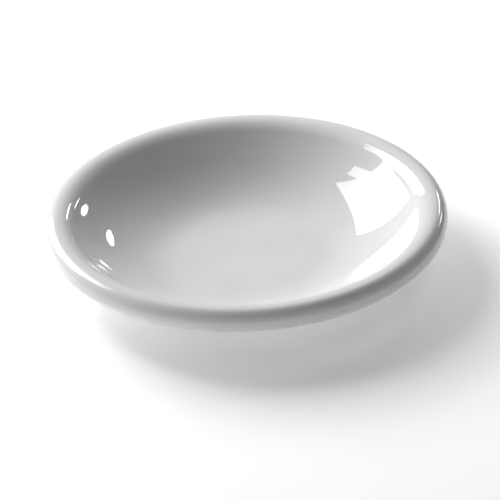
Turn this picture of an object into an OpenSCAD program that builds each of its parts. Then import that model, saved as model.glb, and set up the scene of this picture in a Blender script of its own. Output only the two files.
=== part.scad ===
// Shallow porcelain bowl with a turned-over rim and a foot ring, glazed all over but for the foot.
// Everything is one turned section: a flat well, one concave wall arc, a convex shoulder, and a
// rim rolled outwards and down. The fired clay and its two patches of glaze are cut from that
// section, and they meet face to face. Millimetres, +Z up, origin on the table under the middle.

/* [Bowl] */
// Overall diameter, over the outside of the rolled rim
rim_d = 270; // [240:1:310]
// Height of the rim's crest above the table
bowl_h = 41; // [36:0.5:50]
// Diameter of the flat well in the middle
well_d = 100; // [100:1:120]
// Wall thickness, glaze included
wall_t = 5; // [4:0.1:6]

/* [Rim] */
// Radius of the rim's roll, on the outside
roll_r = 8.2; // [7:0.1:10]
// Radius of the shoulder that leads from the crest into the bowl
shoulder_r = 17; // [10:0.5:24]
// How far the roll turns under, in degrees past the widest point
roll_turn = 75; // [30:1:100]

/* [Foot ring] */
// Outer diameter of the foot ring
foot_d = 95; // [80:1:96]
// Width of the foot ring
foot_w = 5; // [4:0.1:8]
// Clear height under the bowl inside the foot ring
foot_h = 3.5; // [3.3:0.1:6]
// Rounding of the bare clay edge that stands on the table
foot_edge_r = 1.2; // [0.6:0.1:1.4]
// Hollow fillet between the foot ring and the underside
foot_fillet_r = 1.8; // [0.6:0.1:1.8]

/* [Glaze] */
// Thickness of the glaze
glaze_t = 0.3; // [0.2:0.05:0.5]
// Height up the foot ring from which the glaze was wiped before firing
wipe_h = 1.4; // [1.4:0.1:1.6]

/* [Hidden] */
$fn = 180;
// Allowance by which a cutting shape passes what it cuts.
over = 1;
// Arcs that would only just touch are made to cross by this much, which leaves no slivers.
bite = 0.002;
well_r = well_d / 2;
foot_r = foot_d / 2;
// Middle of the roll, which is also the radius of the crest.
crest_r = rim_d / 2 - roll_r;
roll_c = [crest_r, bowl_h - roll_r];
shoulder_c = [crest_r, bowl_h - shoulder_r];
// Top of the flat well.
floor_z = foot_h + wall_t;
// The wall arc leaves the well level and the shoulder arc arrives level at the crest. Both turn
// through the same angle, which therefore follows from the drop and the run between the two.
run = crest_r - well_r;
drop = bowl_h - floor_z;
steep = 2 * atan(drop / run);
wall_r = run / sin(steep) - shoulder_r + bite;
wall_c = [well_r, floor_z + wall_r - bite];

// A pie slice from angle a0 to a1, with straight outer edges that stay outside radius r.
module slice(r, a0, a1) {
  steps = ceil((a1 - a0) / 45);
  reach = 1.2 * r;
  polygon(concat(
    [[0, 0]],
    [for (i = [0 : steps]) let (a = a0 + (a1 - a0) * i / steps) reach * [cos(a), sin(a)]]
  ));
}

// All that lies under the hollow side, from the axis to the crest.
module under_hollow_2d(inset) {
  difference() {
    polygon([
      [0, 0],
      [crest_r, 0],
      shoulder_c,
      wall_c,
      [well_r, floor_z - inset],
      [0, floor_z - inset]
    ]);
    translate(wall_c)
      circle(r = wall_r + inset);
  }
  translate(shoulder_c)
    intersection() {
      circle(r = shoulder_r - inset);
      slice(shoulder_r, 90, 91 + steep);
    }
}

// All that lies below the underside, the foot ring left out.
module below_2d(inset) {
  translate([-over, -over])
    square([well_r + 2 * over, foot_h + inset + over]);
  difference() {
    polygon([
      [well_r, -over],
      [crest_r + over, -over],
      [crest_r + over, shoulder_c.y],
      shoulder_c,
      wall_c
    ]);
    translate(wall_c)
      circle(r = wall_r + wall_t - inset);
  }
  translate(shoulder_c)
    circle(r = shoulder_r - wall_t + inset);
}

// The roll, from the crest over the outside and under, with a rounded lip.
module roll_2d(inset) {
  translate(roll_c) {
    intersection() {
      difference() {
        circle(r = roll_r - inset);
        circle(r = roll_r - wall_t + inset);
      }
      slice(roll_r, -roll_turn, 90);
    }
    rotate(-roll_turn)
      translate([roll_r - wall_t / 2, 0])
        circle(r = wall_t / 2 - inset + bite);
  }
}

// A hollow fillet against the underside. side is 1 outside the foot ring and -1 inside it.
module fillet_2d(inset, r, side) {
  translate([r, foot_h])
    scale([side, 1])
      difference() {
        translate([-inset - over, -foot_fillet_r])
          square([foot_fillet_r + inset + over, foot_fillet_r + over]);
        translate([foot_fillet_r, -foot_fillet_r])
          circle(r = foot_fillet_r + inset);
      }
}

// The foot ring. The clay stands on the table, so the inset leaves the bottom where it is.
module foot_2d(inset) {
  r_in = foot_r - foot_w + inset;
  r_out = foot_r - inset;
  translate([r_in, foot_edge_r])
    square([r_out - r_in, foot_h + over - foot_edge_r]);
  translate([r_in + foot_edge_r, 0])
    square([r_out - r_in - 2 * foot_edge_r, foot_h]);
  for (r = [r_in + foot_edge_r, r_out - foot_edge_r])
    translate([r, foot_edge_r])
      circle(r = foot_edge_r);
  fillet_2d(inset, foot_r, 1);
  fillet_2d(inset, foot_r - foot_w, -1);
}

// The whole turned section, with its surfaces set back by inset.
module section_2d(inset) {
  difference() {
    under_hollow_2d(inset);
    below_2d(inset);
  }
  roll_2d(inset);
  foot_2d(inset);
}

// The glaze on the section, before the foot ring is wiped.
module glaze_2d() {
  difference() {
    section_2d(0);
    section_2d(glaze_t);
  }
}

// Everything from the axis to the middle of the foot ring, up to inside the floor.
module recess_2d(low) {
  translate([0, low])
    square([foot_r - foot_w / 2, foot_h + wall_t / 2 - low]);
}

// Fired clay: bowl, rim and foot ring in one piece.
module porcelain_body() {
  color("#EFEEEA")
    rotate_extrude()
      section_2d(glaze_t);
}

// Glass skin over the inside, the rim, the outside and the outer face of the foot ring.
module glaze_coat() {
  color("#F8F9FA")
    rotate_extrude()
      difference() {
        glaze_2d();
        recess_2d(-over);
        translate([0, -over])
          square([foot_r + over, wipe_h + over]);
      }
}

// Glass skin inside the foot ring, parted from the rest by the wiped edge.
module foot_recess_glaze() {
  color("#F4F5F6")
    rotate_extrude()
      intersection() {
        glaze_2d();
        recess_2d(wipe_h);
      }
}

porcelain_body();
glaze_coat();
foot_recess_glaze();
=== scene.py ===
"""Looks for a shallow glazed porcelain bowl with a rolled rim.

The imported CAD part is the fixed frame. Three finished pieces stand for its three nodes: the clear
glaze over the bowl, the fired clay under it, and the glaze inside the foot ring. Each piece is one
turned section, drawn as a chain of arcs and straights and spun about the bowl's axis. Lengths are
metres in Blender; the size fields are millimetres, as on a potter's drawing.
"""

import logging
import math
from dataclasses import dataclass, field
from enum import Enum

import bpy
from mathutils import Matrix, Vector

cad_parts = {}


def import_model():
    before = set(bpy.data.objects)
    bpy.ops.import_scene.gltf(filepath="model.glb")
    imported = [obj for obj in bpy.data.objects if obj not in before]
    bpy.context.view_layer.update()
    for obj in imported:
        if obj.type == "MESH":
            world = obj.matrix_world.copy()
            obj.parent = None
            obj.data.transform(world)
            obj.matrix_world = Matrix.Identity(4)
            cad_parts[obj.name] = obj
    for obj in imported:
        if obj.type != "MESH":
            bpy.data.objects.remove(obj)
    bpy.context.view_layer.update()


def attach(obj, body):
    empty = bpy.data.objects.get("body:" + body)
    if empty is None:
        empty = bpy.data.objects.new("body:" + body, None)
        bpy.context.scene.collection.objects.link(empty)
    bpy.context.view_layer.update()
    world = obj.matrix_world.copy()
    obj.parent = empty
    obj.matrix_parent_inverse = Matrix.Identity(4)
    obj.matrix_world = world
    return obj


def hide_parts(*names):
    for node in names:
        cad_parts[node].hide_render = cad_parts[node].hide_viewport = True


MM = 0.001
# Points closer than this are one point, in metres. The finest edge is over fifty times as long.
SAME_POINT = 1e-6
# Angle above which an edge is drawn sharp. Every arc of the section is drawn finer than this.
SHARP_DEG = 35
LOG = logging.getLogger("bowl")


class Mat(Enum):
    """Names of the finishes, by material and making process."""

    GLAZE = "feldspar_glaze_fired_on_porcelain"
    RECESS = "feldspar_glaze_thin_in_foot_recess"
    CLAY = "hard_porcelain_bisque_turned_foot"
    TABLE = "opal_acrylic_cast_satin"


class Face(Enum):
    """Outlines of a studio light's face, by Blender's names."""

    RECTANGLE = "RECTANGLE"
    ELLIPSE = "ELLIPSE"


@dataclass(frozen=True)
class Arc:
    """An arc of the turned section.

    Attributes:
        centre: Radius and height of the arc's centre, in mm.
        radius: Radius of the arc, in mm.
        start: Angle where it starts, in degrees, 0 outwards and 90 up.
        end: Angle where it ends, in degrees.
        steps: Number of straight pieces that it is drawn with.
    """

    centre: tuple[float, float]
    radius: float
    start: float
    end: float
    steps: int


@dataclass(frozen=True)
class To:
    """A straight stretch of the turned section, to a point.

    Attributes:
        r: Radius of the point, in mm.
        z: Height of the point, in mm.
    """

    r: float
    z: float


@dataclass(frozen=True)
class BowlSize:
    """Sizes of the bowl in millimetres.

    Attributes:
        crest_r: Radius of the circle on which the rim is highest.
        height: Height of that crest above the table.
        well_r: Radius of the flat well.
        wall_t: Thickness of the wall, glaze included.
        roll_r: Radius of the rim's roll, outside.
        shoulder_r: Radius of the shoulder between the crest and the wall.
        roll_turn: How far the roll turns under, in degrees past its widest point.
        foot_r: Outer radius of the foot ring.
        foot_w: Width of the foot ring.
        foot_h: Clear height under the bowl inside the foot ring.
        foot_edge_r: Rounding of the bare edge that stands on the table.
        foot_fillet_r: Hollow fillet between the foot ring and the underside.
        glaze_t: Thickness of the glaze.
        wipe_h: Height up the foot ring from which the glaze was wiped.
        turns: Number of steps round the axis.
    """

    crest_r: float = 126.8
    height: float = 41.0
    well_r: float = 50.0
    wall_t: float = 5.0
    roll_r: float = 8.2
    shoulder_r: float = 17.0
    roll_turn: float = 75.0
    foot_r: float = 47.5
    foot_w: float = 5.0
    foot_h: float = 3.5
    foot_edge_r: float = 1.2
    foot_fillet_r: float = 1.8
    glaze_t: float = 0.3
    wipe_h: float = 1.4
    turns: int = 256

    @property
    def floor_z(self) -> float:
        """Height of the well's surface."""
        return self.foot_h + self.wall_t

    @property
    def steep(self) -> float:
        """Steepest slope of the wall, in degrees, where the wall meets the shoulder."""
        return 2 * math.degrees(math.atan((self.height - self.floor_z) / (self.crest_r - self.well_r)))

    @property
    def wall_r(self) -> float:
        """Radius of the wall's arc, on its hollow side."""
        run = self.crest_r - self.well_r
        return run / math.sin(math.radians(self.steep)) - self.shoulder_r

    @property
    def wall_c(self) -> tuple[float, float]:
        """Centre of the wall's arc."""
        return (self.well_r, self.floor_z + self.wall_r)

    @property
    def shoulder_c(self) -> tuple[float, float]:
        """Centre of the shoulder's arc."""
        return (self.crest_r, self.height - self.shoulder_r)

    @property
    def roll_c(self) -> tuple[float, float]:
        """Centre of the rim's roll."""
        return (self.crest_r, self.height - self.roll_r)

    @property
    def lip_c(self) -> tuple[float, float]:
        """Centre of the rounded lip that ends the roll."""
        turn = math.radians(-self.roll_turn)
        reach = self.roll_r - self.wall_t / 2
        return (self.roll_c[0] + reach * math.cos(turn), self.roll_c[1] + reach * math.sin(turn))

    def over_the_rim(self, inset: float, fine: float = 1.0) -> list[Arc | To]:
        """The section from the underside of the floor, round the rim, to the middle of the well.

        Args:
            inset: How far the surface lies under the glazed surface, in mm.
            fine: Factor on the number of steps of each arc.

        Returns:
            The stretches in order, starting from the foot's fillet and ending on the axis.
        """

        def n(steps: int) -> int:
            """The number of steps at the asked fineness."""
            return max(4, round(steps * fine))

        lip = -self.roll_turn
        outer, inner = self.roll_r - inset, self.roll_r - self.wall_t + inset
        return [
            To(self.well_r, self.foot_h + inset),
            Arc(self.wall_c, self.wall_r + self.wall_t - inset, -90, self.steep - 90, n(30)),
            Arc(self.shoulder_c, self.shoulder_r - self.wall_t + inset, 90 + self.steep, 90, n(14)),
            Arc(self.roll_c, inner, 90, lip, n(30)),
            Arc(self.lip_c, self.wall_t / 2 - inset, lip + 180, lip + 360, n(24)),
            Arc(self.roll_c, outer, lip, 90, n(60)),
            Arc(self.shoulder_c, self.shoulder_r - inset, 90, 90 + self.steep, n(26)),
            Arc(self.wall_c, self.wall_r + inset, self.steep - 90, -90, n(44)),
            # Two more rings in the flat well keep its faces from being long thin wedges.
            To(self.well_r * 0.96, self.floor_z - inset),
            To(self.well_r * 0.5, self.floor_z - inset),
            To(0.0, self.floor_z - inset),
        ]

    def foot_outside(self, inset: float) -> list[Arc | To]:
        """The foot ring's outer fillet, from the ring's side to the underside.

        Args:
            inset: How far the surface lies under the glazed surface, in mm.

        Returns:
            The one arc of the fillet.
        """
        centre = (self.foot_r + self.foot_fillet_r, self.foot_h - self.foot_fillet_r)
        return [Arc(centre, self.foot_fillet_r + inset, 180, 90, 10)]

    def foot_inside(self, inset: float) -> list[Arc | To]:
        """The foot ring's inner fillet, from the underside to the ring's side.

        Args:
            inset: How far the surface lies under the glazed surface, in mm.

        Returns:
            The one arc of the fillet.
        """
        centre = (
            self.foot_r - self.foot_w - self.foot_fillet_r,
            self.foot_h - self.foot_fillet_r,
        )
        return [Arc(centre, self.foot_fillet_r + inset, 90, 0, 10)]


def backwards(path: list[Arc | To], start: To) -> list[Arc | To]:
    """The same stretches in the opposite order and direction.

    Args:
        path: Stretches of a section.
        start: The point where the path starts.

    Returns:
        A path from the end of the given one to its start.
    """
    ends: list[To] = [start]
    for step in path:
        if isinstance(step, Arc):
            turn = math.radians(step.end)
            ends.append(
                To(
                    step.centre[0] + step.radius * math.cos(turn),
                    step.centre[1] + step.radius * math.sin(turn),
                )
            )
        else:
            ends.append(step)
    out: list[Arc | To] = []
    for step, before in zip(reversed(path), reversed(ends[:-1]), strict=True):
        if isinstance(step, Arc):
            out.append(Arc(step.centre, step.radius, step.end, step.start, step.steps))
        else:
            out.append(before)
    return out


class Lathe:
    """Draws a section as a chain of edges and spins it into a closed skin."""

    def __init__(self, name: str, start: To) -> None:
        """Places the first point of the section.

        Args:
            name: Name of the object to make.
            start: Where the section starts, in mm.
        """
        bpy.ops.object.select_all(action="DESELECT")
        bpy.ops.mesh.primitive_circle_add(vertices=3, radius=MM, location=(0, 0, 0))
        self.obj: bpy.types.Object = bpy.context.object
        self.obj.name = self.obj.data.name = name
        self.at = (start.r, start.z)
        bpy.ops.object.mode_set(mode="EDIT")
        bpy.ops.mesh.select_mode(type="VERT")
        bpy.ops.mesh.select_all(action="SELECT")
        bpy.ops.mesh.merge(type="CENTER")
        bpy.ops.transform.translate(value=(start.r * MM, 0, start.z * MM))

    def follow(self, path: list[Arc | To]) -> "Lathe":
        """Carries the section's end along a path.

        Args:
            path: Arcs and straights, each starting where the last one ended.

        Returns:
            This lathe, so that calls can be chained.
        """
        for step in path:
            if isinstance(step, To):
                move = ((step.r - self.at[0]) * MM, 0, (step.z - self.at[1]) * MM)
                if math.hypot(move[0], move[2]) < SAME_POINT / 10:
                    continue
                bpy.ops.mesh.extrude_region_move(TRANSFORM_OT_translate={"value": move})
                self.at = (step.r, step.z)
                continue
            bpy.ops.mesh.spin(
                steps=step.steps,
                angle=math.radians(step.end - step.start),
                center=(step.centre[0] * MM, 0, step.centre[1] * MM),
                axis=(0, 1, 0),
            )
            turn = math.radians(step.end)
            self.at = (
                step.centre[0] + step.radius * math.cos(turn),
                step.centre[1] + step.radius * math.sin(turn),
            )
        return self

    def spin(self, turns: int) -> bpy.types.Object:
        """Spins the finished section about the bowl's axis.

        Args:
            turns: Number of steps round the axis.

        Returns:
            The smooth, closed object with its faces outwards.
        """
        bpy.ops.mesh.select_all(action="SELECT")
        bpy.ops.mesh.remove_doubles(threshold=SAME_POINT)
        bpy.ops.mesh.select_all(action="SELECT")
        bpy.ops.mesh.spin(steps=turns, angle=math.tau, center=(0, 0, 0), axis=(0, 0, 1))
        bpy.ops.mesh.select_all(action="SELECT")
        bpy.ops.mesh.remove_doubles(threshold=2 * SAME_POINT)
        bpy.ops.mesh.normals_make_consistent(inside=False)
        bpy.ops.object.mode_set(mode="OBJECT")
        bpy.ops.object.shade_smooth_by_angle(angle=math.radians(SHARP_DEG))
        return self.obj


def linear(hex_colour: str) -> tuple[float, float, float, float]:
    """Turns an sRGB hex colour into a linear one.

    Args:
        hex_colour: Colour such as "#f0f0ee".

    Returns:
        Linear red, green and blue, and an alpha of one.
    """
    out = []
    for i in (1, 3, 5):
        c = int(hex_colour[i : i + 2], 16) / 255
        out.append(c / 12.92 if c <= 0.04045 else ((c + 0.055) / 1.055) ** 2.4)
    return (out[0], out[1], out[2], 1.0)


class Nodes:
    """A new material's node tree, with a short way to add and link nodes."""

    def __init__(self, mat: Mat) -> None:
        """Makes the material and keeps its shader and its object coordinates.

        Args:
            mat: Name of the finish.
        """
        self.material = bpy.data.materials.new(mat.value)
        self.material.use_nodes = True
        self.tree = self.material.node_tree
        self.shader = self.tree.nodes["Principled BSDF"]
        self.place = self.add("ShaderNodeTexCoord").outputs["Object"]

    def add(self, kind: str, links: dict | None = None, **settings: object) -> bpy.types.Node:
        """Adds a node.

        Args:
            kind: Blender's name of the node type.
            links: Input name or number to a socket that feeds it, or to a plain value.
            **settings: Attributes to set on the node.

        Returns:
            The new node.
        """
        node = self.tree.nodes.new(kind)
        for key, value in settings.items():
            setattr(node, key, value)
        for key, value in (links or {}).items():
            if isinstance(value, bpy.types.NodeSocket):
                self.tree.links.new(value, node.inputs[key])
            else:
                node.inputs[key].default_value = value
        return node

    def feed(self, **inputs: object) -> None:
        """Sets or links the shader's inputs.

        Args:
            **inputs: Value or socket for each input, with underscores for the spaces in its name.
        """
        for key, value in inputs.items():
            socket = self.shader.inputs[key.replace("_", " ")]
            if isinstance(value, bpy.types.NodeSocket):
                self.tree.links.new(value, socket)
            else:
                socket.default_value = value

    def noise(self, wavelength: float, detail: float = 2.0, rough: float = 0.5) -> bpy.types.NodeSocket:
        """Noise with features of a real size.

        Args:
            wavelength: Size of the largest features, in mm.
            detail: Number of finer octaves.
            rough: Strength of the finer octaves.

        Returns:
            The noise's value socket, 0 to 1 with a mean of one half.
        """
        node = self.add(
            "ShaderNodeTexNoise",
            {"Vector": self.place, "Scale": 1 / (wavelength * MM), "Detail": detail, "Roughness": rough},
        )
        return node.outputs["Fac"]

    def spread(self, value: bpy.types.NodeSocket, low: float, high: float) -> bpy.types.NodeSocket:
        """Stretches the useful middle of a noise to a range.

        Args:
            value: The noise's value.
            low: Lower end of the range.
            high: Upper end of the range.

        Returns:
            The stretched value's socket.
        """
        node = self.add(
            "ShaderNodeMapRange",
            {"Value": value, "From Min": 0.3, "From Max": 0.7, "To Min": low, "To Max": high},
        )
        return node.outputs["Result"]

    def mix(self, factor: bpy.types.NodeSocket, a: str, b: str) -> bpy.types.NodeSocket:
        """Mixes two colours.

        Args:
            factor: 0 for the first colour and 1 for the second.
            a: First sRGB hex colour.
            b: Second sRGB hex colour.

        Returns:
            The mixed colour's socket.
        """
        node = self.add("ShaderNodeMix", {"Factor": factor}, data_type="RGBA")
        node.inputs[6].default_value = linear(a)
        node.inputs[7].default_value = linear(b)
        return node.outputs[2]

    def bump(self, height: bpy.types.NodeSocket, depth: float, under: object = None) -> bpy.types.NodeSocket:
        """A bump of a real depth.

        Args:
            height: Height from 0 to 1.
            depth: Depth that a height of 1 stands for, in mm.
            under: Normal socket of a coarser bump below this one.

        Returns:
            The normal socket.
        """
        links = {"Height": height, "Distance": depth * MM, "Strength": 1.0}
        if under is not None:
            links["Normal"] = under
        return self.add("ShaderNodeBump", links).outputs["Normal"]


@dataclass(frozen=True)
class GlazeFinish:
    """Clear feldspar glaze on hard white porcelain, fired until it flowed level.

    The clay gives a cool white body; the glass over it gives sharp, weak mirror images.

    Attributes:
        mat: Which glaze this is.
        thick: Colour where the glaze is a little thicker.
        thin: Colour where it is a little thinner.
        wave: Depth of the slow waviness left by the flow, in mm.
        gloss: Roughness of the glassy surface.
        speck: Colour of an iron speck.
        speck_gap: Distance between iron specks, in mm.
    """

    mat: Mat = Mat.GLAZE
    thick: str = "#d9dbdb"
    thin: str = "#dfdfde"
    wave: float = 0.004
    gloss: float = 0.03
    speck: str = "#b9aa95"
    speck_gap: float = 14

    def make(self) -> bpy.types.Material:
        """Builds the material."""
        n = Nodes(self.mat)
        flow = n.noise(45, 2.0)
        # Fired glaze shows a few iron specks, each well under a millimetre.
        cells = n.add(
            "ShaderNodeTexVoronoi",
            {"Vector": n.place, "Scale": 1 / (self.speck_gap * MM), "Randomness": 1.0},
        )
        # A speck's heart reaches 0.012 of the gap from its middle, and its edge 0.022.
        speck = n.add(
            "ShaderNodeMapRange",
            {
                "Value": cells.outputs["Distance"],
                "From Min": 0.012,
                "From Max": 0.022,
                "To Min": 0.25,
                "To Max": 0.0,
            },
        ).outputs["Result"]
        body = n.mix(n.spread(flow, 0, 1), self.thick, self.thin)
        toned = n.add("ShaderNodeMix", {"Factor": speck}, data_type="RGBA")
        n.tree.links.new(body, toned.inputs[6])
        toned.inputs[7].default_value = linear(self.speck)
        slow = n.bump(n.noise(16, 1.0), self.wave)
        # The peel is the fine ripple of a fired glaze, far shallower than the slow waves.
        peel = n.bump(n.noise(1.6, 1.0), self.wave / 40, slow)
        n.feed(
            Base_Color=toned.outputs[2],
            Roughness=n.spread(n.noise(30, 2.0), self.gloss * 0.7, self.gloss * 1.3),
            IOR=1.5,
            Normal=peel,
        )
        return n.material


@dataclass(frozen=True)
class ClayFinish:
    """Bare fired porcelain where the glaze was wiped off: matte, fine and faintly ridged by turning.

    Attributes:
        light: Colour of the clean clay.
        dark: Colour in the pores and where dust sits.
        ridge: Pitch of the turning marks, in mm.
        ridge_depth: Height of the turning marks over their mean, in mm.
        grain_depth: Depth of the pores, in mm.
    """

    light: str = "#e9e5dc"
    dark: str = "#d3ccbf"
    ridge: float = 0.45
    ridge_depth: float = 0.006
    grain_depth: float = 0.02

    def make(self) -> bpy.types.Material:
        """Builds the material."""
        n = Nodes(Mat.CLAY)
        grain = n.noise(0.5, 4.0, 0.6)
        # Turning marks run round the axis, so they depend on the distance from it.
        parts = n.add("ShaderNodeSeparateXYZ", {0: n.place})
        flat = n.add("ShaderNodeCombineXYZ", {0: parts.outputs[0], 1: parts.outputs[1]})
        away = n.add("ShaderNodeVectorMath", {0: flat.outputs[0]}, operation="LENGTH")
        per_metre = math.tau / (self.ridge * MM)
        phase = n.add("ShaderNodeMath", {0: away.outputs["Value"], 1: per_metre}, operation="MULTIPLY")
        rings = n.add("ShaderNodeMath", {0: phase.outputs[0]}, operation="SINE")
        turned = n.bump(rings.outputs[0], self.ridge_depth)
        n.feed(
            Base_Color=n.mix(n.spread(grain, 0, 1), self.dark, self.light),
            Roughness=n.spread(n.noise(4, 2.0), 0.62, 0.8),
            IOR=1.5,
            Normal=n.bump(grain, self.grain_depth, turned),
        )
        return n.material


@dataclass(frozen=True)
class TableFinish:
    """A product table's top of cast opal acrylic, sanded satin and faintly lit from below.

    The light that comes through it thins the shadow and lets the table run out to white.

    Attributes:
        light: Colour where the sheet is cleanest.
        dark: Colour where it is a little yellowed and thinner.
        glow: Radiance of the light that comes through, where 1 would look pure white.
    """

    light: str = "#fbfbfb"
    dark: str = "#f8f8f8"
    glow: float = 0.23

    def make(self) -> bpy.types.Material:
        """Builds the material."""
        n = Nodes(Mat.TABLE)
        n.feed(
            Base_Color=n.mix(n.spread(n.noise(220, 2.0), 0, 1), self.dark, self.light),
            Roughness=n.spread(n.noise(60, 2.0), 0.5, 0.6),
            IOR=1.45,
            Normal=n.bump(n.noise(0.9, 2.0), 0.003),
            Emission_Color=(1, 1, 1, 1),
            Emission_Strength=self.glow,
        )
        return n.material


@dataclass
class Bowl:
    """The bowl as three finished pieces.

    Attributes:
        size: Sizes of the bowl.
        pieces: The finished objects, by the CAD node that each one stands for.
    """

    size: BowlSize = field(default_factory=BowlSize)
    pieces: dict[str, bpy.types.Object] = field(default_factory=dict)

    def build(self) -> None:
        """Builds and dresses every piece."""
        self._dress(self._glaze(), "glaze_coat", GlazeFinish())
        self._dress(self._clay(), "porcelain_body", ClayFinish())
        recess = GlazeFinish(mat=Mat.RECESS, thick="#d6d8d7", thin="#dcdcda", wave=0.008, gloss=0.05)
        self._dress(self._recess(), "foot_recess_glaze", recess)

    def _dress(self, obj: bpy.types.Object, node: str, finish: GlazeFinish | ClayFinish) -> None:
        """Gives a piece its finish and its place in the frame.

        Args:
            obj: The finished mesh.
            node: CAD node that it stands for.
            finish: What it is made of.
        """
        obj.data.materials.append(finish.make())
        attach(obj, "root")
        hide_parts(node)
        self.pieces[node] = obj
        LOG.info("%s stands for %s with %d faces", obj.name, node, len(obj.data.polygons))

    def _glaze(self) -> bpy.types.Object:
        """The glaze over the inside, the rim and the outside: an outer and an inner surface."""
        s = self.size
        start = To(s.foot_r, s.wipe_h + s.glaze_t / 2)
        back = To(s.foot_r - s.glaze_t, start.z)
        outer = s.foot_outside(0) + s.over_the_rim(0)
        inner = s.foot_outside(s.glaze_t) + s.over_the_rim(s.glaze_t, fine=0.5)
        edge_c = (s.foot_r - s.glaze_t / 2, start.z)
        lathe = Lathe("glaze_skin", start)
        lathe.follow([To(s.foot_r, s.foot_h - s.foot_fillet_r)]).follow(outer)
        lathe.follow([To(0.0, s.floor_z - s.glaze_t)])
        lathe.follow(backwards(inner, To(back.r, s.foot_h - s.foot_fillet_r)))
        # The glaze draws itself into a round edge where it was wiped.
        lathe.follow([back, Arc(edge_c, s.glaze_t / 2, 180, 360, 6)])
        return lathe.spin(s.turns)

    def _clay(self) -> bpy.types.Object:
        """The fired clay: bowl, rim and foot ring in one lump."""
        s = self.size
        g, e = s.glaze_t, s.foot_edge_r
        r_in, r_out = s.foot_r - s.foot_w + g, s.foot_r - g
        side_z = s.foot_h - s.foot_fillet_r
        lathe = Lathe("clay_body", To(0.0, s.foot_h + g))
        lathe.follow([To(r_in - g - s.foot_fillet_r, s.foot_h + g)])
        lathe.follow(s.foot_inside(g)).follow([To(r_in, side_z), To(r_in, e)])
        lathe.follow([Arc((r_in + e, e), e, 180, 270, 8), To(r_out - e, 0.0)])
        lathe.follow([Arc((r_out - e, e), e, 270, 360, 8), To(r_out, side_z)])
        lathe.follow(s.foot_outside(g)).follow(s.over_the_rim(g, fine=0.6))
        return lathe.spin(s.turns)

    def _recess(self) -> bpy.types.Object:
        """The separate patch of glaze inside the foot ring."""
        s = self.size
        g = s.glaze_t
        r_side = s.foot_r - s.foot_w
        side_z, low = s.foot_h - s.foot_fillet_r, s.wipe_h + g / 2
        edge = r_side - s.foot_fillet_r
        lathe = Lathe("recess_glaze_skin", To(0.0, s.foot_h))
        lathe.follow([To(edge, s.foot_h)]).follow(s.foot_inside(0))
        lathe.follow([To(r_side, side_z), To(r_side, low)])
        lathe.follow([Arc((r_side + g / 2, low), g / 2, 180, 360, 6), To(r_side + g, side_z)])
        lathe.follow(backwards(s.foot_inside(g), To(edge, s.foot_h + g)))
        lathe.follow([To(0.0, s.foot_h + g)])
        return lathe.spin(s.turns)


@dataclass(frozen=True)
class Softbox:
    """A studio light with a flat face that is turned to the bowl.

    Attributes:
        name: What the light is.
        azimuth: Direction to it in degrees, 0 behind the bowl and 90 to its right.
        elevation: Height above the table in degrees.
        distance: Distance from the bowl, in metres.
        width: Width of its face, in metres.
        height: Height of its face, in metres.
        glow: Radiance of its face, where 1 would look pure white.
        roll: Turn of its face about the line to the bowl, in degrees.
        shape: Outline of its face.
        mirrored: Whether the glaze shows its mirror image; a polarising sheet takes that away.
    """

    name: str
    azimuth: float
    elevation: float
    distance: float
    width: float
    height: float
    glow: float
    roll: float = 0.0
    shape: Face = Face.RECTANGLE
    mirrored: bool = True

    def light(self) -> None:
        """Puts the light up."""
        data = bpy.data.lights.new(self.name, "AREA")
        data.shape = self.shape.value
        data.size, data.size_y = self.width, self.height
        # An area light's power in watts is pi times its area times its radiance.
        data.energy = math.pi * self.width * self.height * self.glow
        a, e = math.radians(self.azimuth), math.radians(self.elevation)
        out = Vector((math.sin(a) * math.cos(e), math.cos(a) * math.cos(e), math.sin(e)))
        obj = bpy.data.objects.new(self.name, data)
        turn = (-out).to_track_quat("-Z", "Y").to_matrix().to_4x4()
        roll = Matrix.Rotation(math.radians(self.roll), 4, "Z")
        obj.matrix_world = Matrix.Translation(out * self.distance) @ turn @ roll
        obj.visible_camera = False
        obj.visible_glossy = self.mirrored
        bpy.context.collection.objects.link(obj)


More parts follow.
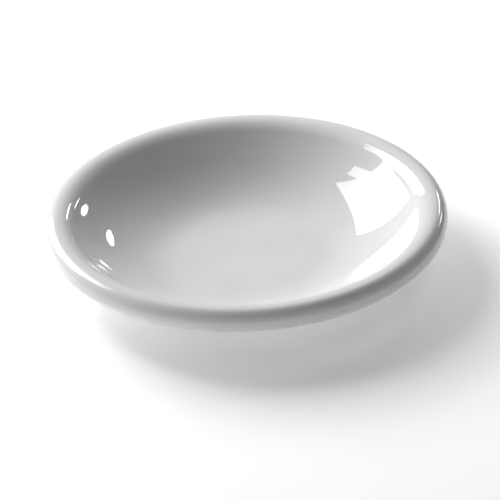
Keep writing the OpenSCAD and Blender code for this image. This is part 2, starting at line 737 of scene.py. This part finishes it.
@dataclass(frozen=True)
class Studio:
    """A white table in a dim white room, the lights over it, and the camera.

    Attributes:
        room: Brightness of the room's walls and ceiling.
        elevation: Camera height above the table, in degrees.
        tilt: Lean of the camera to the left about its own line of sight, in degrees.
        distance: Camera distance, in metres.
        lens: Focal length, in mm.
        frame: Width of the camera's frame, in mm.
        rim_z: Height of the rim's widest circle over the table, in mm. The aim is set out from it.
        aim_right: How far to the right of that circle's middle the camera aims, in mm.
        aim_down: How far below it the camera aims, in mm.
        table: Width of the table, in metres.
    """

    room: float = 0.03
    elevation: float = 30.7
    tilt: float = 2.6
    distance: float = 4.0
    lens: float = 432.0
    frame: float = 36.0
    rim_z: float = 32.8
    aim_right: float = 3.1
    aim_down: float = 19.8
    table: float = 8.0

    def build(self) -> None:
        """Builds the table, the lights and the camera."""
        bpy.ops.object.select_all(action="DESELECT")
        bpy.ops.mesh.primitive_plane_add(size=self.table, location=(0, 0, 0))
        table = bpy.context.object
        table.name = "table"
        table.data.materials.append(TableFinish().make())
        self._room()
        for box in self._lights():
            box.light()
        self._camera()

    def _room(self) -> None:
        """An even white room."""
        world = bpy.data.worlds.new("room")
        world.use_nodes = True
        back = world.node_tree.nodes["Background"]
        back.inputs["Color"].default_value = (1, 1, 1, 1)
        back.inputs["Strength"].default_value = self.room
        bpy.context.scene.world = world

    def _lights(self) -> list[Softbox]:
        """The studio's lights.

        Returns:
            First the four that the glaze mirrors: a softbox with a flap, which make the white patch
            on the right wall, and two small spots. Then the fills, which only shade the bowl.
        """
        return [
            Softbox("key", -40.4, 34.1, 1.5, 0.93, 0.76, 7.0, 41),
            Softbox("key_flap", -54.5, 38.8, 1.54, 0.74, 0.2, 7.0, 59),
            Softbox("spot_low", 40, 17, 2.0, 0.33, 0.11, 12.0, -45, Face.ELLIPSE),
            Softbox("spot_high", 25.5, 23.3, 2.0, 0.34, 0.12, 12.0, -45, Face.ELLIPSE),
            Softbox("back_left_fill", -38, 22, 2.0, 1.2, 0.46, 12.0, mirrored=False),
            Softbox("left_fill", -70, 22, 2.0, 1.2, 0.46, 6.0, mirrored=False),
            Softbox("front_left_fill", -110, 9, 2.0, 1.2, 0.46, 3.0, mirrored=False),
            Softbox("back_fill", 0, 20, 2.0, 1.2, 0.5, 3.0, mirrored=False),
            Softbox("top_fill", 0, 42, 2.0, 1.85, 0.78, 1.4, mirrored=False),
            Softbox("right_top_fill", 110, 65, 2.0, 1.85, 0.85, 0.8, mirrored=False),
            Softbox("front_strip", 180, 4, 2.0, 3.0, 0.17, 2.5, mirrored=False),
        ]

    def _camera(self) -> None:
        """A long lens from the front, aimed a little below the rim's middle."""
        scene = bpy.context.scene
        e, t = math.radians(self.elevation), math.radians(self.tilt)
        back = Vector((0, -math.cos(e), math.sin(e)))
        level = Vector((1, 0, 0))
        rise = back.cross(level)
        right = level * math.cos(t) - rise * math.sin(t)
        up = level * math.sin(t) + rise * math.cos(t)
        aim = Vector((0, 0, self.rim_z * MM)) + right * self.aim_right * MM - up * self.aim_down * MM
        data = bpy.data.cameras.new("camera")
        data.sensor_width, data.lens = self.frame, self.lens
        data.clip_start, data.clip_end = 0.05, 50
        cam = bpy.data.objects.new("camera", data)
        cam.matrix_world = Matrix.Translation(aim + back * self.distance) @ Matrix(
            (
                (right.x, up.x, back.x, 0),
                (right.y, up.y, back.y, 0),
                (right.z, up.z, back.z, 0),
                (0, 0, 0, 1),
            )
        )
        scene.collection.objects.link(cam)
        scene.camera = cam


def main() -> None:
    """Builds the bowl, then the studio round it."""
    logging.basicConfig(level=logging.INFO, format="%(message)s")
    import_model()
    Bowl().build()
    Studio().build()
    scene = bpy.context.scene
    scene.view_settings.view_transform = "Standard"
    scene.view_settings.look = "None"


if __name__ == "__main__":
    main()
